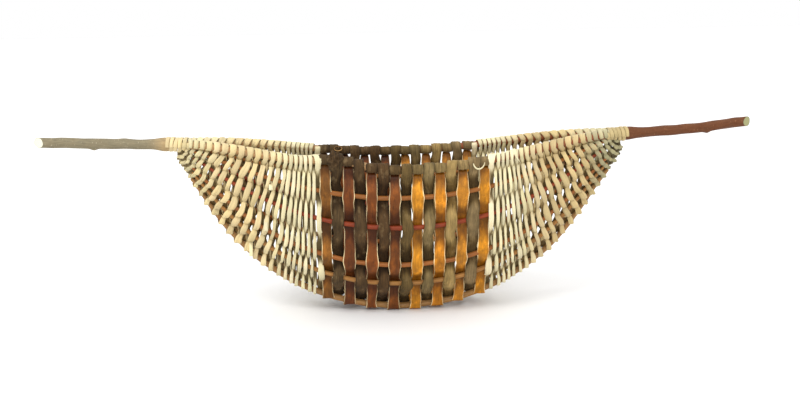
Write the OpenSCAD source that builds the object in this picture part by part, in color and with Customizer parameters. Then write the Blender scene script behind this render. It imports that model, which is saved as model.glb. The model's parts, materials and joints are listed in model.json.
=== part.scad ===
// Boat-shaped frame basket on two forked sticks.
// X runs along the basket, Y across it and Z up. The tips are the two points where the forks divide.

/* [Hull] */
// Half of the length between the two tips
half_span = 273; // [240:1:300]
// Depth of the keel line below the tips
keel_depth = 206; // [180:1:220]
// Flattening of the keel line between the belly and the tips
keel_flat = 9; // [0:1:12]
// Half of the width across the rims at the middle
half_width = 90; // [80:1:100]
// Dip of the rims at the middle
rim_dip = 25; // [10:1:35]
// Rise of the front rim a little left of the middle
rim_rise = 8; // [0:1:10]

/* [Sticks] */
// Diameter of the handle stems
stem_d = 12; // [10:0.5:14]
// Distance of each handle's end from the middle
handle_reach = 427; // [400:1:460]
// Upward lean of the left stem in degrees
left_lean = 2; // [0:0.5:4]
// Upward lean of the right stem's inner part in degrees
right_lean = 2.5; // [0:0.5:4]
// Upward lean of the right stem's outer part in degrees
right_end_lean = 5.5; // [4:0.5:8]
// Slant of the cut at each handle's end in degrees
end_cut = 46; // [0:1:50]
// Diameter of the rim rods
rim_d = 8.6; // [7:0.2:9]
// Diameter of the upper ribs
rib_d = 5.6; // [4:0.2:6]
// Diameter of the two lowest ribs
keel_rib_d = 7.6; // [6:0.2:8]

/* [Centre panel] */
// Distance between neighbouring bark strips
strip_pitch = 13; // [12:0.1:13.4]
// Width of a bark strip
strip_w = 11.4; // [10:0.1:11.6]
// Thickness of a bark strip
strip_t = 1.8; // [1.2:0.1:2]

/* [Rush weave] */
// Thickness of a rush strand
rush_t = 1.4; // [1:0.1:1.6]
// Share of the row pitch that a strand fills
rush_fill = 0.86; // [0.6:0.01:0.92]

/* [Hidden] */

// Sections of the hull: s runs from -1 at the left tip to 1 at the right tip, and phi from 0 at the
// front rim through 90 at the keel to 180 at the back rim.
plan_power = 1.3;
dip_power = 2.3;
fan = 0.05;
rise_s = -0.28;
rise_width = 0.11;
keel_r = (half_span * half_span + keel_depth * keel_depth) / (2 * keel_depth);
keel_end = asin(half_span / keel_r);

strips = 15;
panel_half = strips * strip_pitch / 2;
panel_s = panel_half / half_span;
panel_end = asin(panel_half / keel_r);

// Ribs, from the front rim round to the back rim
rib_phi = [10.4, 22, 39, 50, 72, 108, 130, 141, 158, 169.6];
rib_reach = 0.885;
rib_taper = 0.45;
play = 0.4;

// Rush rows on each side of the panel, worked in groups of four
rows = 40;
rows_per_group = 4;
first_row_s = panel_s + 0.012;
last_row_s = 0.915;
pitch_swing = 0.3;
widest_at = 0.65;

rim_sides = 8;
rim_rings = 22;
rib_rings = 22;
root_s = 0.925;
swell_d = 16;
swell_length = 26;
knuckle = 0.8;

function unit(v) = v / norm(v);
function ease(t) = t + fan * (t * t - t);
function keel_angle(s) =
    abs(s) <= panel_s
    ? asin(half_span * abs(s) / keel_r)
    : panel_end + (keel_end - panel_end) * ease((abs(s) - panel_s) / (1 - panel_s));
function rim_y(s) = half_width * pow(max(0, 1 - s * s), plan_power);
function rim_z(s) = -rim_dip * pow(max(0, 1 - s * s), dip_power);
function top_point(s) = [half_span * s, 0, rim_z(s)];
function keel_radius(angle) = keel_r - keel_flat * sin(180 * pow(angle / keel_end, 3));
function keel_point(s) =
    let (angle = keel_angle(s), r = keel_radius(angle))
    [sign(s) * r * sin(angle), 0, keel_r * cos(keel_end) - r * cos(angle)];
function drop(s) = keel_point(s) - top_point(s);
function front_rise(s) = rim_rise * exp(-pow((s - rise_s) / rise_width, 2));
function hull_point(s, phi) = top_point(s) + drop(s) * sin(phi) - [0, rim_y(s) * cos(phi), 0];

function rim_point(s, phi) = hull_point(s, phi) + [0, 0, phi == 0 ? front_rise(s) : 0];

// Radii of the rods along the hull
function rim_r(s) = rim_d / 2 + 0.6 * pow(abs(s), 4);
function rib_r(i, s) =
    (i == 4 || i == 5 ? keel_rib_d : rib_d) / 2 * (1 - rib_taper * pow(abs(s) / rib_reach, 3));

// A round rod through the given points
function ring(p, along, r, sides) =
    let (n = unit(cross(along, [0, 1, 0])), b = cross(along, n))
    [for (k = [0 : sides - 1]) p + r * (n * cos(360 * k / sides) + b * sin(360 * k / sides))];

module rod(points, radii, sides) {
    last = len(points) - 1;
    rings = [for (i = [0 : last])
        each ring(points[i], unit(points[min(i + 1, last)] - points[max(i - 1, 0)]), radii[i], sides)];
    walls = [for (i = [0 : last - 1], k = [0 : sides - 1])
        [i * sides + k, (i + 1) * sides + k,
         (i + 1) * sides + (k + 1) % sides, i * sides + (k + 1) % sides]];
    start = [for (k = [0 : sides - 1]) k];
    end = [for (k = [sides - 1 : -1 : 0]) last * sides + k];
    polyhedron(rings, concat(walls, [start], [end]));
}

// Everything hangs from the tips, so that the lowest bark strip rests at z = 0
module at_tips() {
    translate([0, 0, tip_height]) children();
}

// One tine of a fork: it runs from its fork along a rim and thins out past the middle, where it
// lies on or under the tine that comes from the other fork.
lap = 0.16;
lap_step = 2.3;
function tine_s(end, i) = end * (root_s - (root_s + lap) * i / rim_rings);
function lap_share(end, s) = max(0, min(1, (lap - end * s) / (2 * lap)));
function tine_point(end, phi, s) =
    rim_point(s, phi) + [0, 0, end * lap_step * lap_share(end, s)];
module tine(end, phi) {
    stations = [for (i = [0 : rim_rings]) tine_s(end, i)];
    rod([for (s = stations) tine_point(end, phi, s)],
        [for (s = stations) rim_r(s) * (1 - 0.55 * lap_share(end, s))],
        rim_sides);
}

// The root of a tine: a cone from the fork to a knuckle where the tine's rod begins
module tine_root(end, phi) {
    from = [end * half_span, 0, 0];
    to = rim_point(end * root_s, phi);
    way = to - from;
    translate(from)
        rotate([0, acos(way[2] / norm(way)), atan2(way[1], way[0])])
            cylinder(h = norm(way), r1 = stem_d / 2 - 0.2, r2 = rim_r(root_s) - 0.4, $fn = 32);
    translate(to) sphere(r = rim_r(root_s) + knuckle, $fn = 32);
}

module tines(end) {
    tine(end, 0);
    tine(end, 180);
    tine_root(end, 0);
    tine_root(end, 180);
}

// A stem along z. It starts in the swelling where the fork divides.
module swollen_stem(length) {
    rotate_extrude($fn = 48) polygon([
        [0, -swell_d / 2], [swell_d * 0.3, -swell_d * 0.4], [swell_d * 0.46, -swell_d * 0.15],
        [swell_d / 2, swell_d * 0.2], [swell_d * 0.47, swell_d * 0.6], [stem_d / 2, swell_length],
        [stem_d / 2, length], [0, length]
    ]);
}

// Takes a slanted cut off the far end of a stem along z
module slant_cut(length) {
    difference() {
        children();
        translate([0, stem_d / 2, length]) rotate([end_cut, 0, 0])
            translate([-stem_d, -3 * stem_d, 0]) cube([2 * stem_d, 6 * stem_d, 2 * stem_d]);
    }
}

module left_handle_fork() {
    length = (handle_reach - half_span) / cos(left_lean);
    color("#8d8070") at_tips() {
        tines(-1);
        translate([-half_span, 0, 0]) rotate([0, left_lean - 90, 0])
            slant_cut(length) swollen_stem(length);
    }
}

module right_handle_fork() {
    bend = 66;
    bend_point = [half_span + bend * cos(right_lean), 0, bend * sin(right_lean)];
    length = (handle_reach - bend_point[0]) / cos(right_end_lean);
    color("#7a4030") at_tips() {
        tines(1);
        translate([half_span, 0, 0]) rotate([0, 90 - right_lean, 0]) swollen_stem(bend);
        translate(bend_point) {
            sphere(d = stem_d + knuckle, $fn = 48);
            rotate([0, 90 - right_end_lean, 0]) slant_cut(length)
                cylinder(h = length, d = stem_d, $fn = 48);
        }
    }
}

module rib(i) {
    stations = [for (k = [0 : rib_rings]) rib_reach * (2 * k / rib_rings - 1)];
    color(i % 2 == 0 ? "#b5653a" : "#8f3f28") at_tips()
        rod([for (s = stations) hull_point(s, rib_phi[i])], [for (s = stations) rib_r(i, s)], 8);
}

// A woven row lies in one leaning plane. In that plane x is across the basket and y is up from
// the rims. The row passes outside the rods of one parity and inside the others.
function row_side(j, i) = (i + j) % 2 == 0 ? 1 : -1;
function row_point(s, phi, out) =
    let (w = rim_y(s), d = norm(drop(s)))
    [-w * cos(phi), -d * sin(phi)] + out * unit([-cos(phi) * d, -sin(phi) * w]);
function row_ribs(s, j, t) = [
    for (i = [0 : len(rib_phi) - 1])
        let (gap = abs(s) < rib_reach ? rib_r(i, s) + t / 2 + play : 0)
        row_point(s, rib_phi[i], row_side(j, i + 1) * gap)
];
function arc(centre, r, from, to, steps) =
    [for (k = [0 : steps]) let (a = from + (to - from) * k / steps) centre + r * [cos(a), sin(a)]];
function front_hook(s, j, t) =
    let (r = rim_r(s) + t / 2 + play, c = [-rim_y(s), front_rise(s)])
    row_side(j, 0) > 0 ? arc(c, r, -35, 190, 9) : arc(c, r, 215, -10, 9);
function back_hook(s, j, t) =
    let (r = rim_r(s) + t / 2 + play, c = [rim_y(s), 0])
    row_side(j, len(rib_phi) + 1) > 0 ? arc(c, r, -10, 215, 9) : arc(c, r, 190, -35, 9);

// The outline of a strand of thickness t along the centre line p
function across(p, k) =
    let (a = p[min(k + 1, len(p) - 1)] - p[max(k - 1, 0)])
    unit([-a[1], a[0]]);
function ribbon(p, t) = concat(
    [for (k = [0 : len(p) - 1]) p[k] + across(p, k) * t / 2],
    [for (k = [len(p) - 1 : -1 : 0]) p[k] - across(p, k) * t / 2]
);

// Height of the tips above the ground: the middle dark strip touches it under a lowest rib
foot_line = row_ribs(0, 0, strip_t);
foot = 5;
tip_height = -rim_z(0) - foot_line[foot][1] + abs(across(foot_line, foot)[1]) * strip_t / 2;

module in_row_plane(s) {
    lean = atan2(drop(s)[0], -drop(s)[2]);
    at_tips() translate(top_point(s)) rotate([0, -lean, 0]) rotate([90, 0, 90]) children();
}

// A row that wraps over both rims
module hooked_row(s, j, w, t) {
    line = concat(front_hook(s, j, t), row_ribs(s, j, t), back_hook(s, j, t));
    in_row_plane(s) linear_extrude(w, center = true) polygon(ribbon(line, t));
}

// A row whose ends are tucked in below the rims
module tucked_row(s, j, w, t) {
    below = [0, -(rim_r(s) + 3.6)];
    front = row_point(s, 0, row_side(j, 0) * rib_d / 2) + below + [0, front_rise(s)];
    back = row_point(s, 180, row_side(j, len(rib_phi) + 1) * rib_d / 2) + below;
    line = concat([front], row_ribs(s, j, t), [back]);
    in_row_plane(s) linear_extrude(w, center = true) polygon(ribbon(line, t));
}

function strip_s(k) = (k - (strips - 1) / 2) * strip_pitch / half_span;

module amber_strip(k) {
    color("#c98a35") tucked_row(strip_s(2 * k), 1, strip_w, strip_t);
}

module dark_strip(k) {
    color("#5b4632") hooked_row(strip_s(2 * k + 1), 0, strip_w, strip_t);
}

// Sleeves of bark on a rim between the hooks of the dark strips
module rim_wraps(phi) {
    sleeve = 2 * strip_pitch - strip_w - 2.2;
    bore = rim_r(0) + play;
    color("#4c3a2a") at_tips() for (k = [0 : 7]) {
        s = strip_s(2 * k);
        way = rim_point(s + 0.01, phi) - rim_point(s - 0.01, phi);
        translate(rim_point(s, phi))
            rotate([0, acos(way[2] / norm(way)), atan2(way[1], way[0])])
                difference() {
                    cylinder(h = sleeve, r = bore + strip_t, center = true, $fn = 40);
                    cylinder(h = sleeve + 2, r = bore, center = true, $fn = 40);
                }
    }
}

module bark_knot() {
    s = strip_s(0.9);
    color("#33261c") at_tips() translate(rim_point(s, 0)) rotate([0, 90, 0])
        rotate_extrude($fn = 40) translate([rim_r(0) + play + strip_t + 3.4, 0]) circle(r = 2.8, $fn = 20);
}

module bark_loop() {
    cord_r = 1.3;
    inward = rim_r(0) + play + strip_t + cord_r + 0.2;
    color("#54402d") at_tips() translate(rim_point(strip_s(1.4), 180) + [0, -inward, 2.4])
        rotate([90, 0, 0]) rotate_extrude($fn = 40) translate([4.6, 0]) circle(r = cord_r, $fn = 16);
}

module rush_loop() {
    out = rim_r(0) + play + strip_t + 2;
    color("#efe9d2") at_tips() translate(rim_point(strip_s(13.4), 0) + [0, -out, -5])
        rotate([90, 0, 0]) rotate_extrude($fn = 40) translate([6.4, 0]) circle(r = 0.8, $fn = 16);
}

// Rush rows stand closest at the panel and at the tips
function row_u(n) = n / (rows - 1);
function row_s(n) =
    first_row_s + (last_row_s - first_row_s)
    * (row_u(n) + pitch_swing * (sin(360 * (row_u(n) - widest_at)) + sin(360 * widest_at)) / 360 * 57.2958);
function row_pitch(n) =
    half_span * (last_row_s - first_row_s) / (rows - 1)
    * (1 + pitch_swing * cos(360 * (row_u(n) - widest_at)));

module rush_group(end, group) {
    color("#e3d6b0") for (k = [0 : rows_per_group - 1]) {
        n = (group - 1) * rows_per_group + k;
        s = end * row_s(n);
        lean = atan2(abs(drop(s)[0]), -drop(s)[2]);
        hooked_row(s, n, rush_fill * row_pitch(n) * cos(lean), rush_t);
    }
}

// Closed turns of rush round both rims and the fork
module tip_lashing(end) {
    turns = 4;
    grip = stem_d / 2 + 1.2;
    color("#dcd0aa") for (k = [0 : turns - 1]) {
        s = end * (0.93 + 0.01 * k);
        w = rim_y(s);
        d = norm(drop(s));
        in_row_plane(s) linear_extrude(2.3, center = true) difference() {
            lashing_outline(w, d, grip + rush_t);
            lashing_outline(w, d, grip);
        }
    }
}
module lashing_outline(w, d, r) {
    below = max(d, stem_d / 2) + r - stem_d / 2;
    polygon(concat(
        [for (phi = [0 : 15 : 180]) [-(w + r) * cos(phi), -below * sin(phi)]],
        [for (a = [30 : 30 : 150]) [(w + r) * cos(a), r * sin(a)]]
    ));
}

left_handle_fork();
right_handle_fork();
rib(0);  // rib_front_1
rib(1);  // rib_front_2
rib(2);  // rib_front_3
rib(3);  // rib_front_4
rib(4);  // rib_front_5
rib(5);  // rib_back_5
rib(6);  // rib_back_4
rib(7);  // rib_back_3
rib(8);  // rib_back_2
rib(9);  // rib_back_1
amber_strip(0);  // amber_strip_1
amber_strip(1);  // amber_strip_2
amber_strip(2);  // amber_strip_3
amber_strip(3);  // amber_strip_4
amber_strip(4);  // amber_strip_5
amber_strip(5);  // amber_strip_6
amber_strip(6);  // amber_strip_7
amber_strip(7);  // amber_strip_8
dark_strip(0);  // dark_strip_1
dark_strip(1);  // dark_strip_2
dark_strip(2);  // dark_strip_3
dark_strip(3);  // dark_strip_4
dark_strip(4);  // dark_strip_5
dark_strip(5);  // dark_strip_6
dark_strip(6);  // dark_strip_7
rim_wraps(0);  // front_rim_wraps
rim_wraps(180);  // back_rim_wraps
bark_knot();
bark_loop();
rush_loop();
rush_group(-1, 1);  // rush_left_01
rush_group(-1, 2);  // rush_left_02
rush_group(-1, 3);  // rush_left_03
rush_group(-1, 4);  // rush_left_04
rush_group(-1, 5);  // rush_left_05
rush_group(-1, 6);  // rush_left_06
rush_group(-1, 7);  // rush_left_07
rush_group(-1, 8);  // rush_left_08
rush_group(-1, 9);  // rush_left_09
rush_group(-1, 10);  // rush_left_10
rush_group(1, 1);  // rush_right_01
rush_group(1, 2);  // rush_right_02
rush_group(1, 3);  // rush_right_03
rush_group(1, 4);  // rush_right_04
rush_group(1, 5);  // rush_right_05
rush_group(1, 6);  // rush_right_06
rush_group(1, 7);  // rush_right_07
rush_group(1, 8);  // rush_right_08
rush_group(1, 9);  // rush_right_09
rush_group(1, 10);  // rush_right_10
tip_lashing(-1);  // left_tip_lashing
tip_lashing(1);  // right_tip_lashing
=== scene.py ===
"""Looks of a boat-shaped frame basket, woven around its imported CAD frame. All lengths are in metres."""
import json
import math

import bmesh
import bpy
import numpy as np
from mathutils import Matrix, Vector, noise


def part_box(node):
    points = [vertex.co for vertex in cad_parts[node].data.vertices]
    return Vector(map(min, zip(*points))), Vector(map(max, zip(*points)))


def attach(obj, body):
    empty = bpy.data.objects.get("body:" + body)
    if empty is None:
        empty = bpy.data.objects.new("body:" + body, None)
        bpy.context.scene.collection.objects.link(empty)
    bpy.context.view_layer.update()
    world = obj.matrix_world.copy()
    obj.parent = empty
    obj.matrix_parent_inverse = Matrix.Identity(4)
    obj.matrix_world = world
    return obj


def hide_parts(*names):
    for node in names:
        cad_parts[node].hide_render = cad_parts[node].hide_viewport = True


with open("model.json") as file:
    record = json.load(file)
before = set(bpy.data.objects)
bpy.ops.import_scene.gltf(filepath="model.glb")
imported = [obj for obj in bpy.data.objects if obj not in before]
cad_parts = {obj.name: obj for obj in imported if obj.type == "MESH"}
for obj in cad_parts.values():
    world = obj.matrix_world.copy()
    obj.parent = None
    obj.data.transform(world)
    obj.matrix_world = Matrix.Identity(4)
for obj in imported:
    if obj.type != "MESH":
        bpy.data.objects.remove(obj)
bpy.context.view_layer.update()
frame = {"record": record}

MM = 0.001
rng = np.random.default_rng(7)

# Each strand takes its grain from its own place in the noise, at most this far off
GRAIN_SHIFT = 60

# ---------------------------------------------------------------- the hull, as the CAD frame has it
# A row is placed by s, from -1 at the left tip to 1 at the right tip. A point on a row is placed by phi,
# from 0 at the front rim through a right angle at the keel to pi at the back rim.

HALF_SPAN = 273 * MM
KEEL_DEPTH = 206 * MM
KEEL_FLAT = 9 * MM
RIM_D = 8.6 * MM
RIM_SWELL = 0.6 * MM
HALF_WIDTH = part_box("left_handle_fork")[1].y - RIM_D / 2
HANDLE_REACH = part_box("right_handle_fork")[1].x
RIM_DIP = 25 * MM
RIM_RISE = 8 * MM
RISE_S = -0.28
RISE_WIDTH = 0.11
PLAN_POWER = 1.3
DIP_POWER = 2.3
FAN = 0.05
LEFT_LEAN = math.radians(2)
RIGHT_LEAN = math.radians(2.5)
RIGHT_END_LEAN = math.radians(5.5)
RIGHT_BEND = 66 * MM
STEM_R = 6 * MM
SWELL_R = 8 * MM
END_CUT = math.radians(46)

# Only in the looks: the keel bulges a little under the right tip
BULGE = 6.5 * MM
BULGE_S = 0.94
BULGE_WIDTH = 0.09

STRIPS = 15
STRIP_PITCH = 13 * MM
PANEL_S = STRIPS * STRIP_PITCH / 2 / HALF_SPAN
RIB_PHI = np.radians([10.4, 22, 39, 50, 72, 108, 130, 141, 158, 169.6])
RIB_NODES = [f"rib_front_{n}" for n in range(1, 6)] + [f"rib_back_{n}" for n in range(5, 0, -1)]
RIB_R = 2.8 * MM
KEEL_RIB_R = 3.8 * MM
RIB_REACH = 0.885
RIB_TAPER = 0.45

ROWS = 40
ROWS_PER_GROUP = 4
FIRST_ROW_S = PANEL_S + 0.012
LAST_ROW_S = 0.915
PITCH_SWING = 0.3
WIDEST_AT = 0.65

KEEL_R = (HALF_SPAN**2 + KEEL_DEPTH**2) / (2 * KEEL_DEPTH)
KEEL_END = math.asin(HALF_SPAN / KEEL_R)
PANEL_END = math.asin(PANEL_S * HALF_SPAN / KEEL_R)

grip = next(m for m in frame["record"]["mounts"] if m["name"] == "left_grip")
TIP_Z = grip["pos_m"][2] - (-HALF_SPAN - grip["pos_m"][0]) * math.tan(LEFT_LEAN)


def keel_angle(s):
    """The angle of the row's keel point on the keel's circle. Along the panel it lies straight below s."""
    a = np.abs(s)
    t = np.clip((a - PANEL_S) / (1 - PANEL_S), 0, 1)
    outer = PANEL_END + (KEEL_END - PANEL_END) * (t + FAN * (t * t - t))
    inner = np.arcsin(np.clip(HALF_SPAN * a / KEEL_R, 0, 1))
    return np.where(a <= PANEL_S, inner, outer)


def bow(s, power):
    """1 in the middle of the basket and 0 at the tips."""
    return np.clip(1 - np.square(s), 0, 1) ** power


def rim_y(s):
    """How far each rim is from the middle plane."""
    return HALF_WIDTH * bow(s, PLAN_POWER)


def top_point(s):
    """The point midway between the rims, leaving out the front rim's rise."""
    s = np.asarray(s, float)
    return np.stack([HALF_SPAN * s, 0 * s, TIP_Z - RIM_DIP * bow(s, DIP_POWER)], -1)


def keel_point(s):
    """The lowest point of the row."""
    s = np.asarray(s, float)
    angle = keel_angle(s)
    r = KEEL_R - KEEL_FLAT * np.sin(np.pi * (angle / KEEL_END) ** 3)
    r = r + BULGE * np.exp(-np.square((s - BULGE_S) / BULGE_WIDTH))
    x, z = np.sign(s) * r * np.sin(angle), KEEL_R * np.cos(KEEL_END) - r * np.cos(angle)
    return np.stack([x, 0 * s, TIP_Z + z], -1)


def hull_point(s, phi):
    """The point of the hull at phi on the row."""
    s = np.asarray(s, float)
    top, keel = top_point(s), keel_point(s)
    point = top + (keel - top) * np.sin(phi)
    point[..., 1] -= rim_y(s) * np.cos(phi)
    return point


def front_rise(s):
    """The small rise of the front rim left of the middle."""
    return RIM_RISE * np.exp(-np.square((s - RISE_S) / RISE_WIDTH))


def rim_point(s, phi):
    """The middle of a rim, with the front rim's rise."""
    point = hull_point(s, phi)
    if phi == 0:
        point[..., 2] += front_rise(s)
    return point


def rim_centre(s, phi):
    """The middle of a rim in the plane of the row at s."""
    across = float(rim_y(s))
    return np.array([-across, float(front_rise(s))]) if phi == 0 else np.array([across, 0.0])


def rim_r(s):
    return RIM_D / 2 + RIM_SWELL * np.abs(s) ** 4


def rib_r(i, s):
    """A rib's radius. The two ribs beside the keel are thicker, and all of them taper towards the tips."""
    base = KEEL_RIB_R if i in (4, 5) else RIB_R
    return base * (1 - RIB_TAPER * np.clip(np.abs(s) / RIB_REACH, 0, 1) ** 3)


def row_u(n):
    """How far along its field a row is, from 0 at the panel to 1 at the tip."""
    return n / (ROWS - 1)


def row_s(n):
    """The place of a row. The rows are widest apart at WIDEST_AT and closest near the panel."""
    wave = np.sin(2 * np.pi * (row_u(n) - WIDEST_AT)) + np.sin(2 * np.pi * WIDEST_AT)
    return FIRST_ROW_S + (LAST_ROW_S - FIRST_ROW_S) * (row_u(n) + PITCH_SWING * wave / (2 * np.pi))


def strip_s(k):
    """The place of a strip of the panel, counted from its left end."""
    return (k - (STRIPS - 1) / 2) * STRIP_PITCH / HALF_SPAN


# ---------------------------------------------------------------- curves, colours and small helpers


def unit(v):
    """The same directions at length 1."""
    v = np.asarray(v, float)
    return v / np.maximum(np.linalg.norm(v, axis=-1, keepdims=True), 1e-12)


def linear(red, green, blue):
    """An sRGB colour of 0 to 255 as linear light."""
    c = np.array([red, green, blue]) / 255
    return np.where(c <= 0.04045, c / 12.92, ((c + 0.055) / 1.055) ** 2.4)


def smooth(t):
    """A soft step from 0 to 1."""
    t = np.clip(t, 0, 1)
    return t * t * (3 - 2 * t)


def wander(length, wave, size, octaves=3):
    """A smooth random function of the distance along something, for the given distances."""
    total = 0
    for k in range(octaves):
        total = total + np.sin(2 * np.pi * length / wave * 1.7**k + rng.uniform(0, 7)) / 1.5**k
    return size * total / 1.6


def through(points, count):
    """A smooth curve through rows of values whose first three are a place, at even steps along it."""
    points = np.asarray(points, float)
    steps = np.linalg.norm(np.diff(points[:, :3], axis=0), axis=1)
    t = np.concatenate([[0], np.cumsum(np.maximum(steps, 1e-6))])
    slopes = np.gradient(points, t, axis=0)
    at = np.linspace(0, t[-1], count)
    k = np.clip(np.searchsorted(t, at, side="right") - 1, 0, len(t) - 2)
    h = (t[k + 1] - t[k])[:, None]
    x = ((at - t[k]) / h[:, 0])[:, None]
    return (
        (2 * x**3 - 3 * x**2 + 1) * points[k]
        + (x**3 - 2 * x**2 + x) * h * slopes[k]
        + (3 * x**2 - 2 * x**3) * points[k + 1]
        + (x**3 - x**2) * h * slopes[k + 1]
    )


class Bundle:
    """Closed tubes and ribbons in one mesh. Each point has a tint and its place in the grain."""

    def __init__(self):
        self.points, self.faces, self.tints, self.grains, self.slots = [], [], [], [], []
        self.count = 0

    def grid(self, points, tint, grain, slot=0, caps=(True, True)):
        """A tube of rings. points is rings x sides x 3."""
        rings, sides = points.shape[:2]
        tint = np.broadcast_to(tint, points.shape)
        index = self.count + np.arange(rings * sides).reshape(rings, sides)
        near, far = index[:-1], index[1:]
        quads = np.stack([near, np.roll(near, -1, 1), np.roll(far, -1, 1), far], -1).reshape(-1, 4)
        self.faces += quads.tolist()
        self.slots += [slot] * len(quads)
        for cap, ring in ((caps[0], index[0][::-1]), (caps[1], index[-1])):
            if cap:
                self.faces.append(ring.tolist())
                self.slots.append(slot)
        self.points.append(points.reshape(-1, 3))
        self.tints.append(tint.reshape(-1, 3))
        self.grains.append(np.asarray(grain).reshape(-1, 3))
        self.count += rings * sides

    def piece(self, name, slot_name, node, materials):
        mesh = bpy.data.meshes.new(name)
        mesh.from_pydata(np.concatenate(self.points).tolist(), [], self.faces)
        for material in materials:
            mesh.materials.append(material)
        mesh.polygons.foreach_set("material_index", self.slots)
        add_piece(name, mesh, node, np.concatenate(self.tints), np.concatenate(self.grains))


def add_piece(name, mesh, node, tints, grains):
    """A mesh takes a CAD node's place as a smooth piece. tints and grains have a row for each point."""
    tint = mesh.attributes.new("tint", "FLOAT_COLOR", "POINT")
    tint.data.foreach_set("color", np.concatenate([tints, np.ones((len(tints), 1))], 1).ravel())
    grain = mesh.attributes.new("grain", "FLOAT_VECTOR", "POINT")
    grain.data.foreach_set("vector", np.asarray(grains).ravel())
    mesh.polygons.foreach_set("use_smooth", [True] * len(mesh.polygons))
    mesh.update()
    obj = bpy.data.objects.new(name, mesh)
    bpy.context.scene.collection.objects.link(obj)
    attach(obj, "root")
    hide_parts(node)


def frames(path, side):
    """Width and outward directions along a path, for a width that stays near the direction side."""
    along = unit(np.gradient(path, axis=0))
    side = np.broadcast_to(side, path.shape)
    width = unit(side - along * np.sum(side * along, 1, keepdims=True))
    return width, np.cross(along, width)


def travel(path):
    """The distance along a path at each of its points."""
    return np.concatenate([[0], np.cumsum(np.linalg.norm(np.diff(path, axis=0), axis=1))])


def ring_angles(count):
    return 2 * np.pi * np.arange(count) / count


def ribbon(bundle, path, side, width, thick, section, tint, lift=0.0):
    """A flat strand. Its section is (across from -1 to 1, height in thicknesses)."""
    across, height = section
    wide, out = frames(path, side)
    half = np.broadcast_to(width, len(path))[:, None] / 2
    deep = np.broadcast_to(thick, len(path))[:, None] * height + lift
    points = path[:, None] + wide[:, None] * (half * across)[..., None] + out[:, None] * deep[..., None]
    length = travel(path)[:, None] * np.ones(len(across))
    shift = np.full(length.shape, rng.uniform(0, GRAIN_SHIFT))
    bundle.grid(points, tint, np.stack([half * across, length, shift], -1))


def rings_round(path, radius, length):
    """Rings round a path and their places in the grain. radius is rings x sides."""
    angle = ring_angles(radius.shape[1])
    wide, out = frames(path, (0, 1, 0))
    around = wide[:, None] * np.cos(angle)[:, None] + out[:, None] * np.sin(angle)[:, None]
    along = length[:, None] * np.ones(len(angle))
    grain = np.stack([radius * np.sin(angle), along, radius * np.cos(angle)], -1)
    return path[:, None] + around * radius[..., None], grain


def rod(bundle, path, radius, tint, sides):
    """A round rod with a radius for each point of its path."""
    points, grain = rings_round(path, radius[:, None] * np.ones(sides), travel(path))
    grain[..., 2] += rng.uniform(0, GRAIN_SHIFT)
    bundle.grid(points, tint, grain)


# ---------------------------------------------------------------- materials


class Tree:
    """A material's nodes, written as calls."""

    def __init__(self, name):
        self.material = bpy.data.materials.new(name)
        self.material.use_nodes = True
        self.nodes = self.material.node_tree.nodes
        self.links = self.material.node_tree.links
        self.shader = self.nodes["Principled BSDF"]

    def node(self, kind, settings=None, **inputs):
        """A new node. An input is given by its name, or by its number after an underscore."""
        made = self.nodes.new("ShaderNode" + kind)
        for key, value in (settings or {}).items():
            setattr(made, key, value)
        for key, value in inputs.items():
            number = key[1:]
            self.put(made.inputs[int(number) if number.isdigit() else key.replace("_", " ")], value)
        return made

    def put(self, socket, value):
        if isinstance(value, bpy.types.NodeSocket):
            self.links.new(value, socket)
        else:
            socket.default_value = value

    def grain(self, across, along):
        """The place in the grain, in waves per metre across and along it."""
        place = self.node("Attribute", {"attribute_name": "grain"}).outputs["Vector"]
        waves = (across, along, 1.0)
        return self.node("VectorMath", {"operation": "MULTIPLY"}, _0=place, _1=waves).outputs[0]

    def noise(self, vector, detail=3.0, roughness=0.55):
        made = self.node("TexNoise", Vector=vector, Scale=1.0, Detail=detail, Roughness=roughness)
        return made.outputs["Fac"]

    def spread(self, value, low, high, to_low, to_high):
        """A value between low and high, mapped to lie between to_low and to_high."""
        made = self.node("MapRange", {"clamp": True}, _0=value, _1=low, _2=high, _3=to_low, _4=to_high)
        return made.outputs[0]

    def tint(self):
        return self.node("Attribute", {"attribute_name": "tint"}).outputs["Color"]

    def scaled(self, colour, value):
        return self.node("VectorMath", {"operation": "SCALE"}, _0=colour, Scale=value).outputs[0]

    def toned(self, first, first_range, second, second_range):
        """The piece's own tint, made lighter and darker by two noises."""
        bright = self.times(self.spread(first, *first_range), self.spread(second, *second_range))
        return self.scaled(self.tint(), bright)

    def mixed(self, factor, first, second):
        made = self.node("Mix", {"data_type": "RGBA"}, _0=factor)
        self.put(made.inputs[6], first)
        self.put(made.inputs[7], second)
        return made.outputs[2]

    def times(self, first, second):
        return self.node("Math", {"operation": "MULTIPLY"}, _0=first, _1=second).outputs[0]

    def plus(self, first, second):
        return self.node("Math", {"operation": "ADD"}, _0=first, _1=second).outputs[0]

    def finish(self, colour, roughness, height, depth, **even):
        """Wires up the surface. even holds the inputs that have one value all over."""
        bump = self.node("Bump", Strength=1.0, Distance=depth, Height=height)
        self.put(self.shader.inputs["Base Color"], colour)
        self.put(self.shader.inputs["Roughness"], roughness)
        self.put(self.shader.inputs["Normal"], bump.outputs[0])
        for key, value in even.items():
            self.shader.inputs[key.replace("_", " ")].default_value = value
        return self.material


def rgba(colour):
    return (*colour, 1.0)


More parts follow.
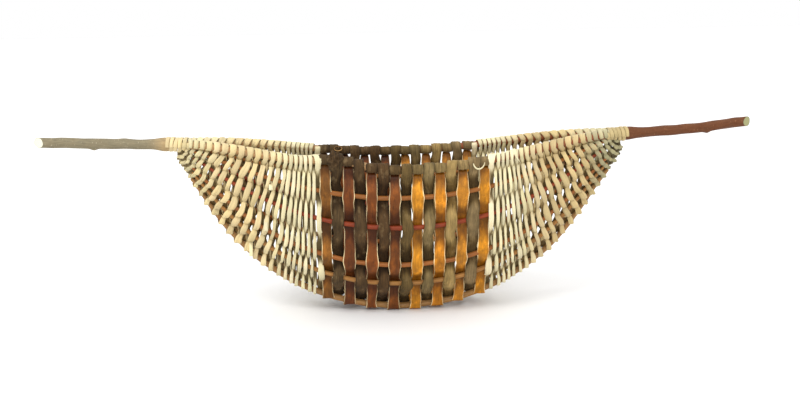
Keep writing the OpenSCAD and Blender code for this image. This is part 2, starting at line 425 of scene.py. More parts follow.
def rush_material():
    """Dry rush: fine fibres along it, with straw patches and a few brown specks."""
    t = Tree("pale_rush")
    fibres = t.noise(t.grain(1900, 22), 4, 0.6)
    patches = t.noise(t.grain(90, 55), 2)
    specks = t.noise(t.grain(700, 420), 2)
    colour = t.toned(fibres, (0.3, 0.7, 0.8, 1.08), patches, (0.3, 0.7, 0.88, 1.06))
    colour = t.mixed(t.spread(specks, 0.68, 0.76, 0, 0.45), colour, rgba(linear(150, 112, 62)))
    colour = t.mixed(t.spread(patches, 0.6, 0.75, 0, 0.3), colour, rgba(linear(196, 160, 96)))
    return t.finish(colour, t.spread(fibres, 0.3, 0.7, 0.42, 0.66), fibres, 0.35 * MM,
                    Specular_IOR_Level=0.3, Sheen_Weight=0.05)


def amber_material():
    """Inner bark, mottled from deep amber to gold, with a slight sheen."""
    t = Tree("amber_bark")
    fibres = t.noise(t.grain(1300, 30), 4, 0.6)
    mottle = t.noise(t.grain(170, 75), 3, 0.6)
    blots = t.noise(t.grain(320, 210), 2)
    colour = t.toned(fibres, (0.3, 0.7, 0.75, 1.15), mottle, (0.3, 0.7, 0.72, 1.2))
    colour = t.mixed(t.spread(mottle, 0.52, 0.74, 0, 0.6), colour, t.scaled(t.tint(), 1.8))
    colour = t.mixed(t.spread(blots, 0.6, 0.74, 0, 0.5), colour, t.scaled(t.tint(), 0.35))
    return t.finish(colour, t.spread(mottle, 0.3, 0.7, 0.3, 0.55), t.plus(fibres, mottle), 0.5 * MM,
                    Specular_IOR_Level=0.16, Coat_Weight=0.04, Coat_Roughness=0.35)


def dark_bark_material():
    """Outer bark: matt, fibrous and wrinkled along its length."""
    t = Tree("dark_bark")
    fibres = t.noise(t.grain(1500, 38), 6, 0.68)
    wrinkles = t.noise(t.grain(520, 60), 4, 0.6)
    patches = t.noise(t.grain(120, 70), 3)
    colour = t.toned(fibres, (0.28, 0.72, 0.45, 1.5), patches, (0.3, 0.7, 0.7, 1.25))
    colour = t.mixed(t.spread(wrinkles, 0.56, 0.7, 0, 0.5), colour, rgba(linear(36, 25, 16)))
    colour = t.mixed(t.spread(patches, 0.58, 0.75, 0, 0.35), colour, rgba(linear(150, 128, 92)))
    return t.finish(colour, t.spread(fibres, 0.3, 0.7, 0.62, 0.9), t.plus(fibres, wrinkles), 0.9 * MM,
                    Specular_IOR_Level=0.16)


def rod_material(name, streak):
    """The skin of a rod, with darker streaks along it."""
    t = Tree(name)
    fibres = t.noise(t.grain(900, 26), 4, 0.6)
    patches = t.noise(t.grain(110, 60), 3)
    colour = t.toned(fibres, (0.3, 0.7, 0.75, 1.18), patches, (0.3, 0.7, 0.78, 1.15))
    colour = t.mixed(t.spread(patches, 0.56, 0.72, 0, 0.5), colour, rgba(streak))
    return t.finish(colour, t.spread(patches, 0.3, 0.7, 0.4, 0.62), t.plus(fibres, patches), 0.35 * MM,
                    Specular_IOR_Level=0.25)


def stick_material(name, light, dark, coat):
    """Bark on the sticks, with mottled patches and small pale pores that lie across the stick."""
    t = Tree(name)
    fibres = t.noise(t.grain(700, 60), 5, 0.65)
    patches = t.noise(t.grain(150, 85), 4, 0.6)
    pores = t.noise(t.grain(260, 900), 1)
    colour = t.toned(fibres, (0.3, 0.7, 0.75, 1.2), patches, (0.3, 0.7, 0.8, 1.12))
    colour = t.mixed(t.spread(patches, 0.5, 0.66, 0, 0.55), colour, rgba(dark))
    colour = t.mixed(t.spread(pores, 0.68, 0.74, 0, 0.6), colour, rgba(light))
    height = t.plus(fibres, t.times(pores, 0.6))
    return t.finish(colour, t.spread(patches, 0.3, 0.7, 0.45, 0.72), height, 0.5 * MM,
                    Specular_IOR_Level=0.2, Coat_Weight=coat, Coat_Roughness=0.4)


# Radians for each metre from the pith: a ring every 0.87 mm
RING_WAVE = 7200.0


def cut_wood_material():
    """A cut end: pale wood in rings round a small pith. Its grain holds the distance from the pith."""
    t = Tree("cut_wood")
    place = t.node("Attribute", {"attribute_name": "grain"})
    far = t.node("SeparateXYZ", Vector=place.outputs["Vector"]).outputs["X"]
    rings = t.node("Math", {"operation": "SINE"}, _0=t.times(far, RING_WAVE)).outputs[0]
    rough = t.noise(t.grain(900, 900), 3)
    colour = t.toned(rings, (-1, 1, 0.82, 1.06), rough, (0.3, 0.7, 0.85, 1.1))
    pith = t.spread(far, 0.5 * MM, 1.0 * MM, 0.8, 0)
    colour = t.mixed(pith, colour, rgba(linear(150, 120, 72)))
    height = t.plus(rough, t.times(rings, 0.4))
    return t.finish(colour, t.spread(rough, 0.3, 0.7, 0.55, 0.75), height, 0.2 * MM)


RUSH = rush_material()
AMBER = amber_material()
DARK = dark_bark_material()
RIB = rod_material("rib_rod", linear(104, 52, 20))
GREY_STICK = stick_material("grey_bark_stick", linear(196, 188, 164), linear(112, 100, 78), 0.0)
RED_STICK = stick_material("red_bark_stick", linear(160, 112, 74), linear(74, 36, 16), 0.03)
CUT = cut_wood_material()

# ---------------------------------------------------------------- sticks, rims and ribs

TAN = linear(172, 146, 104)
GREY_BARK = linear(130, 120, 95)
RED_BARK = linear(100, 58, 30)
CREAM_CUT = linear(240, 238, 212)
GREEN_CUT = linear(160, 158, 108)

# The tines of the two sticks lie one on the other over LAP on both sides of the middle
LAP = 0.16
LAP_STEP = 2.3 * MM

# A stem starts inside its fork and ends a little past its CAD end. The slanted cut moves its last stretch
STEM_ROOT = 9 * MM
END_SPARE = 3 * MM
CUT_LENGTH = 45 * MM
SOFTENING = 9


def stem_path(end, count):
    """The middle line of a handle, from STEM_ROOT inside its fork to its end."""
    if end < 0:
        corners = [(0.0, 0.0), (HANDLE_REACH - HALF_SPAN, (HANDLE_REACH - HALF_SPAN) * math.tan(LEFT_LEAN))]
    else:
        bend = (RIGHT_BEND * math.cos(RIGHT_LEAN), RIGHT_BEND * math.sin(RIGHT_LEAN))
        rest = HANDLE_REACH - HALF_SPAN - bend[0]
        corners = [(0.0, 0.0), bend, (bend[0] + rest, bend[1] + rest * math.tan(RIGHT_END_LEAN))]
    corners = np.array(corners)
    reach = np.linspace(-STEM_ROOT, corners[-1, 0] + END_SPARE, count)
    rise = np.interp(reach, corners[:, 0], corners[:, 1])
    soft = np.exp(-np.square(np.arange(-SOFTENING, SOFTENING + 1) / 5))
    rise = np.convolve(np.pad(rise, SOFTENING, mode="edge"), soft / soft.sum(), mode="valid")
    slack = smooth(reach / (30 * MM)) * smooth((corners[-1, 0] - reach) / (20 * MM))
    path = np.stack([end * (HALF_SPAN + reach), wander(reach, 0.09, 0.5 * MM) * slack, TIP_Z + rise], 1)
    path[:, 2] += wander(reach, 0.11, 0.4 * MM) * slack
    return path, reach


def stem_radius(reach, angle, knots):
    """The radius of each point of a handle's bark. knots are (distance, angle, height, length)."""
    radius = STEM_R + (SWELL_R - STEM_R) * np.exp(-np.square((reach - 3 * MM) / (11 * MM)))[:, None]
    radius = radius + wander(reach, 0.05, 0.12 * MM)[:, None] + 0 * angle
    for k in (2, 3, 5):
        radius += 0.14 * MM * np.sin(k * angle + rng.uniform(0, 7) + wander(reach, 0.12, 2.0)[:, None])
    for where, turn, height, size in knots:
        gap = np.angle(np.exp(1j * (angle - turn)))
        radius += height * np.exp(-np.square((reach[:, None] - where) / size) - np.square(gap / 0.55))
    return radius * (0.35 + 0.65 * smooth((reach + STEM_ROOT) / (7 * MM)))[:, None]


def stem(bundle, end, tint, cut_tint, knots):
    """A handle with its bark, knots and a cut that slopes from the back of the stick to its front."""
    sides, count = 48, 260
    path, reach = stem_path(end, count)
    points, grain = rings_round(path, stem_radius(reach, ring_angles(sides), knots), reach)
    near_end = smooth((reach - reach[-1] + CUT_LENGTH) / CUT_LENGTH)[:, None]
    points[..., 0] -= end * (STEM_R - points[..., 1]) * math.tan(END_CUT) * near_end
    shade = np.ones((count, sides, 1)) * tint
    if end < 0:
        fork = np.exp(-np.square(np.clip(reach, 0, None) / (16 * MM)))[:, None, None]
        shade = shade * (1 - fork) + TAN * fork
    bundle.grid(points, shade, grain, 0, (True, False))
    cut_face(bundle, end, points[-1], tint, cut_tint)


def cut_face(bundle, end, edge, tint, cut_tint):
    """The cut face in rings, from its dark bark to the pith. The wood stands a little proud of the bark."""
    middle = edge.mean(0)
    shares = np.array([1.0, 0.9, 0.72, 0.5, 0.3, 0.12])
    face = middle + (edge - middle) * shares[:, None, None]
    face[1:3, :, 0] += end * 0.15 * MM
    far = np.linalg.norm(face - middle, axis=2)
    wood = cut_tint * np.ones((len(shares), len(edge), 3))
    shade = np.where((shares > 0.95)[:, None, None], tint * 0.35, wood)
    bundle.grid(face, shade, np.stack([far, 0 * far, 0 * far], -1), 1, (False, True))


def tine(bundle, end, phi, tint):
    """A tine that runs from its fork along a rim and thins out in the lap at the middle."""
    s = end * np.linspace(1.0, -LAP, 200)
    share = np.clip((LAP - end * s) / (2 * LAP), 0, 1)
    path = rim_point(s, phi)
    path[:, 2] += end * LAP_STEP * share
    length = travel(path)
    path[:, 1] += wander(length, 0.08, 0.25 * MM)
    radius = rim_r(s) * (1 - 0.55 * share) + wander(length, 0.03, 0.12 * MM)
    rod(bundle, path, radius, tint, 18)


def stick(end, name, node, slot_name, tint, rim_tint, cut_tint, material, knots):
    """A forked stick: its stem is a handle and its two tines are half of each rim."""
    bundle = Bundle()
    stem(bundle, end, tint, cut_tint, knots)
    tine(bundle, end, 0, rim_tint)
    tine(bundle, end, math.pi, rim_tint)
    bundle.piece(name, slot_name, node, [material, CUT])


stick(-1, "left_stick", "left_handle_fork", "grey_bark_stick",
      GREY_BARK, linear(168, 128, 84), CREAM_CUT, GREY_STICK,
      [(87 * MM, math.radians(90), 2.0 * MM, 4.5 * MM), (52 * MM, math.radians(-70), 0.8 * MM, 6 * MM)])
stick(1, "right_stick", "right_handle_fork", "red_bark_stick",
      RED_BARK, linear(140, 78, 46), GREEN_CUT, RED_STICK,
      [(101 * MM, math.radians(-90), 1.9 * MM, 4 * MM), (48 * MM, math.radians(60), 0.7 * MM, 7 * MM)])

# From the rim down, on both sides
RIB_TINTS = [linear(*c) for c in ((136, 82, 32), (128, 50, 18), (142, 84, 34),
                                  (150, 104, 50), (150, 110, 62))]


def ribs():
    for i, node in enumerate(RIB_NODES):
        bundle = Bundle()
        s = np.linspace(-RIB_REACH, RIB_REACH, 220)
        path = hull_point(s, RIB_PHI[i])
        length = travel(path)
        path[:, 1] += wander(length, 0.13, 0.35 * MM)
        path[:, 2] += wander(length, 0.11, 0.3 * MM)
        radius = rib_r(i, s) + wander(length, 0.035, 0.1 * MM)
        rod(bundle, path, radius, RIB_TINTS[min(i, 9 - i)], 14)
        bundle.piece(node + "_rod", "rib_rod", node, [RIB])


ribs()

# ---------------------------------------------------------------- the weave

GAP = 0.2 * MM
SPRING_LIFT = 0.84

# Between the two keel ribs a strand springs over a smaller share of the way, and lower
KEEL_SPRING = 0.4
KEEL_LIFT = 0.7

# Beyond the ends of the ribs a row swings in and out by this share
PAST_RIBS = 0.45

# A strand's width beside a rib as a share of its width over it, and its slant there as a share of its lean
NEAR_WIDTH = 0.88
RIB_SLANT = 0.75
KEEL_SLANT = 0.3


def side_of(j, i):
    """1 where row j passes outside rod i, and -1 where it passes inside."""
    return 1 if (i + j) % 2 == 0 else -1


def row_plane(s):
    """A row's plane: its top point, the directions up and along the basket, its half width and depth."""
    top = top_point(s)
    fall = keel_point(s) - top
    up = -unit(fall)
    return top, up, np.cross((0, 1, 0), up), float(rim_y(s)), float(np.linalg.norm(fall))


def rib_contacts(s, j, thick, spring):
    """For each rib, the points in the row's plane where a strand nears, crosses and leaves it.

    thick is the strand's thickness at each rib, and spring is the share of the way to the next rib over
    which the strand stands clear.
    """
    _, _, _, w, d = row_plane(s)
    c = np.stack([-w * np.cos(RIB_PHI), -d * np.sin(RIB_PHI)], 1)
    out = unit(np.stack([-np.cos(RIB_PHI) * d, -np.sin(RIB_PHI) * w], 1))
    r = np.array([rib_r(i, s) for i in range(10)]) + thick / 2 + GAP
    if abs(s) > RIB_REACH:
        r = r * PAST_RIBS
    rails = np.concatenate([[rim_centre(s, 0)], c, [rim_centre(s, math.pi)]])
    contacts = []
    for i in range(10):
        clear = out[i] * r[i] * side_of(j, i + 1)
        near = []
        for other in (i - 1, i + 1):
            under_keel = {i, other} == {4, 5}
            share, lift = (KEEL_SPRING * spring, KEEL_LIFT) if under_keel else (spring, SPRING_LIFT)
            near.append(c[i] + share * (rails[other + 1] - c[i]) + lift * clear)
        contacts.append([near[0], c[i] + clear, near[1]])
    return contacts


def hook(centre, r, degrees):
    """Points round a rim, at angles from the back of the basket upwards."""
    return [centre + r * np.array([math.cos(math.radians(a)), math.sin(math.radians(a))]) for a in degrees]


def woven(s, j, thick, ends, widths, spring, stray=0.06, lean=0.0, lap=0.0):
    """Rows of (place, width, side, turn at the front, turn at the back) for a strand of the row at s.

    side is 1 where the strand lies outside and -1 inside. ends are its hooks at the two rims, as (point,
    turn, share of the width). widths are (at the rims, under them, over a rib, its growth at the keel,
    between the ribs). Each outer part leans by lean, and its upper end is lapped outwards by lap.
    """
    top, up, along, _, _ = row_plane(s)
    rim_w, under_rim_w, rib_w, keel_share, mid_w = widths
    rows = []

    def add(point, width, side, front=0.0, back=0.0, sideways=0.0):
        place = top + np.array([0, point[0], 0]) + up * point[1] + along * sideways
        rows.append([*place, width, side, front, back])

    for point, turn, share in ends[0]:
        add(point, rim_w * share, side_of(j, 0), front=turn)
    last = ends[0][-1][0]
    contacts = rib_contacts(s, j, thick, spring) + [[ends[1][0][0]]]
    keel_side = 5
    for i, meet in enumerate(contacts):
        coming = side_of(j, i + 1)
        upper = -1 if i == keel_side else coming * (1 if i < keel_side else -1)
        step = meet[0] - last
        outward = unit(np.array([step[1], -step[0]]))
        between = under_rim_w if i in (0, len(RIB_PHI)) else mid_w
        add((last + meet[0]) / 2 + outward * lap * upper, between, 0.0, sideways=lean * upper)
        if i == len(RIB_PHI):
            break
        growth = 1 + (keel_share - 1) * math.sin(RIB_PHI[i])
        wide = rib_w * growth * rng.uniform(1 - 1.3 * stray, 1 + stray)
        drift = rng.normal(0, 3.2 * stray * MM)
        slant = (KEEL_SLANT if i in (4, 5) else RIB_SLANT) * lean * coming * (1 if i < keel_side else -1)
        for point, share, tilt in zip(meet, (NEAR_WIDTH, 1.0, NEAR_WIDTH), (slant, 0.0, -slant)):
            add(point, wide * share, coming * (0.8 + 0.2 * (share == 1.0)), sideways=drift + tilt)
        last = meet[2]
    for point, turn, share in ends[1]:
        add(point, rim_w * share, side_of(j, 11), back=turn)
    return np.array(rows)


def painted_recess_shade(side, across, height, depth):
    """Painted shade, as a colour factor for each point of a strand: full where it is exposed, darker at its
    edges and on the faces that lie against a rib or under a neighbour, and browner as it darkens.
    """
    facing = side[:, None] * np.sign(height)
    open_to = facing + 0.3 - 0.9 * np.abs(across) ** 2.5 * (1 - np.clip(facing, 0, 1))
    light = depth + (1 - depth) * smooth((open_to + 0.35) / 0.9)
    return light[..., None] ** np.array([1.0, 1.15, 1.5])


def profile(count, crown, crease=0.0, crease_at=0.0):
    """A strand's section: a rounded outer side with a crease, and a flatter inner side."""
    a = ring_angles(count)
    across = np.cos(a)
    height = np.where(np.sin(a) >= 0, 0.5 * np.abs(np.sin(a)) ** crown, -0.4 * np.abs(np.sin(a)) ** 0.7)
    dip = crease * np.exp(-np.square((across - crease_at) / 0.22)) * (np.sin(a) > 0)
    return across, height * (1 - dip)


# A strand is RUSH_THIN where it changes sides, and thicker by RUSH_FULL of its width over a rib. RUSH_DARK
# is the darkest painted shade on a rush strand.
RUSH_DARK = 0.22
RUSH_THIN = 1.2 * MM
RUSH_FULL = 0.22
RUSH_SPRING = 0.27
RUSH_STRAY = 0.17
RUSH_LAP = 0.9 * MM
RIM_RUSH_T = 2.0 * MM
BACK_HOOK = 1.15
SEAM_RUSH = linear(228, 217, 176)
MID_RUSH = linear(222, 200, 148)
LEFT_TIP_RUSH = linear(214, 200, 154)
RIGHT_MID_RUSH = linear(204, 180, 128)
RIGHT_TIP_RUSH = linear(164, 156, 116)


def rush_tint(end, u):
    """Cream at the panel, straw in the middle of the field, then the colour of the tip."""
    middle, tip = (MID_RUSH, LEFT_TIP_RUSH) if end < 0 else (RIGHT_MID_RUSH, RIGHT_TIP_RUSH)
    straw = smooth((u - 0.2) / 0.35)
    far = smooth((u - 0.72) / 0.2)
    base = (SEAM_RUSH * (1 - straw) + middle * straw) * (1 - far) + tip * far
    warm = np.array([1.0, rng.uniform(0.98, 1.01), rng.uniform(0.93, 1.02)])
    return base * warm * rng.uniform(0.84, 1.05)


def rush_ends(s, j):
    """The two rim hooks of a rush row: over the rim where it comes up outside, or tucked in inside."""
    r = float(rim_r(s)) + RIM_RUSH_T / 2 + GAP
    front, back = rim_centre(s, 0), rim_centre(s, math.pi)
    over = np.array([-14, 18, 50, 82, 114, 146, 176, 198])
    turn = 1 - smooth((over + 14) / 180)
    waist = np.array([0.75, 0.92, 1, 1, 1, 1, 0.94, 0.84])
    tuck, tuck_waist = np.array([34, 12, -10]), [0.75, 0.85, 0.8]
    start = list(zip(hook(front, r, tuck), [0] * 3, tuck_waist))
    if side_of(j, 0) > 0:
        start = list(zip(hook(front, r, over), turn, waist))
    finish = list(zip(hook(back, r, 180 - tuck[::-1]), [0] * 3, tuck_waist[::-1]))
    if side_of(j, 11) > 0:
        finish = list(zip(hook(back, r, 180 - over[::-1]), turn[::-1], BACK_HOOK * waist[::-1]))
    return start, finish


def rush_strand(bundle, end, s, after, j, u):
    """Row j, at u along its field. It leans towards the panel, and its rim hooks turn over into after."""
    _, _, along, _, _ = row_plane(s)
    pitch = HALF_SPAN * abs(after - s)
    fan = np.linalg.norm(keel_point(after) - keel_point(s)) / pitch
    rib_w = pitch * rng.uniform(1.24, 1.5)
    thick = (RUSH_FULL * rib_w + RUSH_THIN) * np.ones(10)
    beside_panel = j == 0
    widths = (1.6 * pitch, 1.4 * pitch, rib_w, 1.0 if beside_panel else min(fan, 1.15), 1.14 * pitch)
    lean = -end * pitch * (0.08 + 0.46 * smooth(u / 0.45)) * rng.uniform(0.75, 1.25) * (not beside_panel)
    rows = woven(s, j, thick, rush_ends(s, j), widths, RUSH_SPRING, RUSH_STRAY, lean, RUSH_LAP)
    to_front = rim_point(after, 0) - rim_point(s, 0)
    to_back = rim_point(after, math.pi) - rim_point(s, math.pi)
    rows[:, :3] += rows[:, 5:6] * to_front + rows[:, 6:7] * to_back
    line = through(rows[:, :5], int(104 + 60 * (1 - u)))
    path, width, side = line[:, :3], line[:, 3], np.clip(line[:, 4], -1, 1)
    length = travel(path)
    path = path + wander(length, 0.055, 0.09 * pitch)[:, None] * along
    width = width * (1 + wander(length, 0.03, 0.05))
    section = profile(16, rng.uniform(0.6, 0.85), rng.uniform(0.0, 0.7), rng.uniform(-0.35, 0.35))
    # Painted shade: the strand is darker and browner at its edges and on the faces that lie against the
    # ribs or under its neighbours
    shade = painted_recess_shade(side, *section, RUSH_DARK)
    from_rim = np.minimum(length, length[-1] - length)
    pale = 0.7 * smooth((u - 0.6) / 0.3) * np.exp(-np.square(from_rim / (16 * MM)))
    own, hidden = rush_tint(end, u), rush_tint(end, u)
    tint = own + (SEAM_RUSH - hidden) * pale[:, None, None]
    tint = tint * (1 + wander(length, 0.11, 0.06))[:, None, None] * shade
    ribbon(bundle, path, along, width, RUSH_THIN + RUSH_FULL * width * side**2, section, tint)


def rush_stub(bundle, end, s, phi, drop):
    """The cut end of a strand that sticks out between two rows."""
    foot = hull_point(s, phi)
    inside = np.array([keel_point(s)[0], 0, TIP_Z - 60 * MM])
    out = unit(foot - inside)
    out[0] *= 0.2
    points = [foot - out * 3 * MM, foot + out * 5 * MM, foot + out * 8.5 * MM - np.array([0, 0, drop])]
    line = through(points, 14)
    ribbon(bundle, line, (1, 0, 0), 4.6 * MM, 2.4 * MM, profile(12, 0.7, 0.2), rush_tint(end, 0.1))


# Each stub's row, and its angle round from the front rim in degrees
STUBS = ((-0.55, 14), (-0.56, 34), (-0.61, 61))
FIRST_ROW_SHIFT = 0.008


def rush_field(end, field):
    """The rows between the panel and a tip, a piece for each group. The first row hugs the panel."""
    for group in range(ROWS // ROWS_PER_GROUP):
        first, after = group * ROWS_PER_GROUP, (group + 1) * ROWS_PER_GROUP
        bundle = Bundle()
        for n in range(first, after):
            place = row_s(n) - FIRST_ROW_SHIFT * (n == 0)
            rush_strand(bundle, end, end * place, end * row_s(n + 1), n, row_u(n))
        for s, degrees in STUBS:
            if row_s(first) <= end * s < row_s(after):
                rush_stub(bundle, end, s, math.radians(degrees), 6 * MM)
        node = f"rush_{field}_{group + 1:02d}"
        bundle.piece(node + "_woven", "pale_rush", node, [RUSH])


rush_field(-1, "left")
rush_field(1, "right")

EXTRA_ROWS = 3
TIP_TURNS = 5
TIP_TURN_STEP = 0.0185
TIP_TURN_W = 4.7 * MM
TIP_TURN_T = 2.8 * MM
TIP_TURN_SLIDE = 2.4 * MM


def tip_turn(bundle, end, k):
    """One turn of rush round both rims. Its ends overlap, slid apart along the basket."""
    s = end * (1 - TIP_TURN_STEP * (k + 0.2))
    r = max(STEM_R, float(rim_r(s))) + (1.6 if k < 2 else 0.9) * MM
    a = np.linspace(math.radians(-200), math.radians(200), 72)
    path = top_point(s) + np.stack([0 * a, (float(rim_y(s)) + r) * np.cos(a), r * np.sin(a)], 1)
    path[:, 0] += end * TIP_TURN_SLIDE * a / np.pi
    width = TIP_TURN_W * (1 + wander(travel(path), 0.03, 0.06))
    path[:, 0] += wander(travel(path), 0.06, 0.35 * MM)
    section = profile(16, 0.7, rng.uniform(0.0, 0.5), rng.uniform(-0.3, 0.3))
    # Painted shade: the turn is darker at its edges and on its inner face
    shade = painted_recess_shade(np.ones(len(a)), *section, RUSH_DARK)
    ribbon(bundle, path, (1, 0, 0), width, TIP_TURN_T, section, rush_tint(end, 0.78) * shade)


def lashing(end, node):
    """The last rows towards a tip, and the turns of rush that bind both rims to the fork."""
    bundle = Bundle()
    last = row_s(ROWS - 1)
    step = last - row_s(ROWS - 2)
    for k in range(EXTRA_ROWS):
        s = last + step * (k + 1)
        rush_strand(bundle, end, end * s, end * (s + step), ROWS + k, 1.0)
    for k in range(TIP_TURNS):
        tip_turn(bundle, end, k)
    bundle.piece(node + "_turns", "pale_rush", node, [RUSH])


lashing(-1, "left_tip_lashing")
lashing(1, "right_tip_lashing")

# ---------------------------------------------------------------- the bark panel

STRIP_SPRING = 0.2
HOOK_SLANT = 2.2 * MM
AMBER_SWAY = 0.45 * MM
DARK_SWAY = 1.2 * MM
AMBER_T = 1.3 * MM
AMBER_CURL = 0.9 * MM
SLEEVE_T = 1.0 * MM
SLEEVE_W = 13.8 * MM
BARK_T = 3.8 * MM
KEEL_BARK_T = 2.0 * MM
HOOK_BARK_T = 2.6 * MM
AMBER_STRIPS = (STRIPS + 1) // 2
AMBER_EDGE = linear(238, 218, 168)
AMBERS = [linear(*c) for c in ((118, 74, 24), (98, 50, 14), (114, 60, 18), (104, 56, 17),
                               (186, 122, 26), (178, 112, 24), (172, 112, 30), (182, 118, 22))]
BARKS = [linear(*c) for c in ((80, 62, 38), (80, 60, 36), (80, 58, 33), (97, 78, 44),
                              (118, 100, 64), (156, 130, 80), (130, 109, 74))]


def bark_tone(s):
    """The tone of the bark at s along the panel: dark at its left end, olive and tan to the right."""
    place = (s * HALF_SPAN / STRIP_PITCH + (STRIPS - 1) / 2 - 1) / 2
    return np.array([np.interp(place, range(7), [c[k] for c in BARKS]) for k in range(3)])


def flat_profile(count):
    """A wide flat section with rounded edges: the outer face from 1 to -1, then the inner face back."""
    outer = np.cos(np.pi * (np.arange(count) + 0.5) / count)
    outer = np.sign(outer) * np.abs(outer) ** 0.8
    edge = np.sqrt(np.clip(1 - np.abs(outer) ** 6, 0, 1)) * 0.5
    return np.concatenate([outer, outer[::-1]]), np.concatenate([edge, -edge[::-1]])


def strip_ends(s, thick, tucked):
    """The ends of a strip: hooked over both rims and down inside, or tucked in below them."""
    r = float(rim_r(s)) + thick / 2 + GAP
    front, back = rim_centre(s, 0), rim_centre(s, math.pi)
    if tucked:
        below = r + 2.4 * MM
        start = list(zip(hook(front, below, [-48, -66]), [0, 0], [0.8, 0.9]))
        finish = list(zip(hook(back, below, [-70, -52]), [0, 0], [0.9, 0.8]))
        return start, finish
    over = [-22, 10, 42, 74, 106, 138, 168, 190]
    slide = [1, 1, 0.95, 0.85, 0.7, 0.5, 0.3, 0.15, 0.05]
    waist = [0.8, 0.85, 0.88, 0.92, 0.95, 1, 1, 0.98, 0.95]
    start = list(zip(hook(front, r, [-52] + over), slide, waist))
    finish = list(zip(hook(back, r, over[::-1] + [-46]), slide[::-1], waist[::-1]))
    return start, finish


def folds(across, length, size, waves):
    """Wrinkles that run along a strip and drift across it."""
    lift = 0 * length[:, None] + 0 * across
    for f in waves:
        drift = rng.uniform(0, 7) + wander(length, 0.06, 1.6)[:, None]
        lift = lift + size * np.sin(f * math.pi * across + drift)
    return lift


def strip_line(s, j, thick, ends, widths, sway):
    """A strip's line, width and side along its length. It sways sideways between its neighbours."""
    rows = woven(s, j, thick, ends, widths, STRIP_SPRING)
    rows[:, 0] += rows[:, 5:7] @ rng.normal(0, HOOK_SLANT, 2)
    line = through(rows[:, :5], 240)
    path, side = line[:, :3], np.clip(line[:, 4], -1, 1)
    length = travel(path)
    path[:, 0] += wander(length, 0.07, sway)
    width = line[:, 3] * (1 + wander(length, 0.05, 0.045)) + wander(length, 0.011, 0.12 * MM)
    return path, width, side, length


def amber_strip(k):
    """A flat strip with curled, pale edges. It widens where it crosses outside a rib."""
    s = strip_s(k)
    share = rng.uniform(0.93, 1.06)
    widths = (11.5 * MM, 12.4 * MM, 14.8 * MM * share, 1.0, 12.4 * MM * share)
    ends = strip_ends(s, AMBER_T, True)
    path, width, side, length = strip_line(s, 1, AMBER_T * np.ones(10), ends, widths, AMBER_SWAY)
    section = flat_profile(15)
    across = section[0]
    lift = AMBER_CURL * np.abs(across) ** 3.0 * (0.6 + wander(length, 0.05, 0.5))[:, None]
    edge = smooth((np.abs(across) - 0.86) / 0.1)[None, :, None]
    edge = edge * np.clip(0.8 + wander(length, 0.04, 0.4), 0, 1)[:, None, None]
    body = AMBERS[k // 2] * (1 + wander(length, 0.05, 0.2))[:, None, None]
    # Painted shade: the strip is darker at its edges and on the faces that lie against the ribs, down to
    # half its tint
    body = body * painted_recess_shade(side, *section, 0.5)
    bundle = Bundle()
    tint = body * (1 - edge) + AMBER_EDGE * edge
    ribbon(bundle, path, (1, 0, 0), width, AMBER_T, section, tint, lift)
    return bundle


def dark_strip(k):
    """A thick, rounded roll of bark, hooked over both rims. It is flatter at the keel and at the rims."""
    s = strip_s(k)
    thick = np.where(np.abs(RIB_PHI - math.pi / 2) < 0.4, KEEL_BARK_T, BARK_T)
    widths = (13.0 * MM, 13.0 * MM, 14.6 * MM * rng.uniform(0.92, 1.05), 1.0, 12.6 * MM)
    ends = strip_ends(s, HOOK_BARK_T, False)
    path, width, side, length = strip_line(s, 0, thick, ends, widths, DARK_SWAY)
    width = width * (1 + wander(length, 0.035, 0.06))
    section = profile(26, 0.62)
    across, height = section
    lift = folds(across, length, 0.22 * MM, (2.2, 4.1, 7.3)) * np.where(height > 0, 1.0, 0.5)
    low = smooth((path[:, 2] - 8 * MM) / (26 * MM))
    high = smooth((TIP_Z - RIM_DIP - 16 * MM - path[:, 2]) / (14 * MM))
    deep = KEEL_BARK_T + (BARK_T - KEEL_BARK_T) * low * (0.35 + 0.65 * high)
    # Painted shade: the roll is darker on its hidden faces and against the ribs, and darker again towards
    # both edges as a round roll's shading
    tint = BARKS[k // 2] * (1 + wander(length, 0.06, 0.14))[:, None, None] * painted_recess_shade(side, *section, 0.4)
    tint = tint * (1 - 0.35 * np.abs(across) ** 3)[:, None]
    bundle = Bundle()
    ribbon(bundle, path, (1, 0, 0), width, deep, section, tint, lift)
    return bundle


def panel():
    """Amber and dark strips in turn, with an amber strip at each end."""
    for n in range(AMBER_STRIPS):
        node = f"amber_strip_{n + 1}"
        amber_strip(2 * n).piece(node + "_bark", "amber_bark", node, [AMBER])
    for n in range(AMBER_STRIPS - 1):
        node = f"dark_strip_{n + 1}"
        dark_strip(2 * n + 1).piece(node + "_bark", "dark_bark", node, [DARK])


panel()


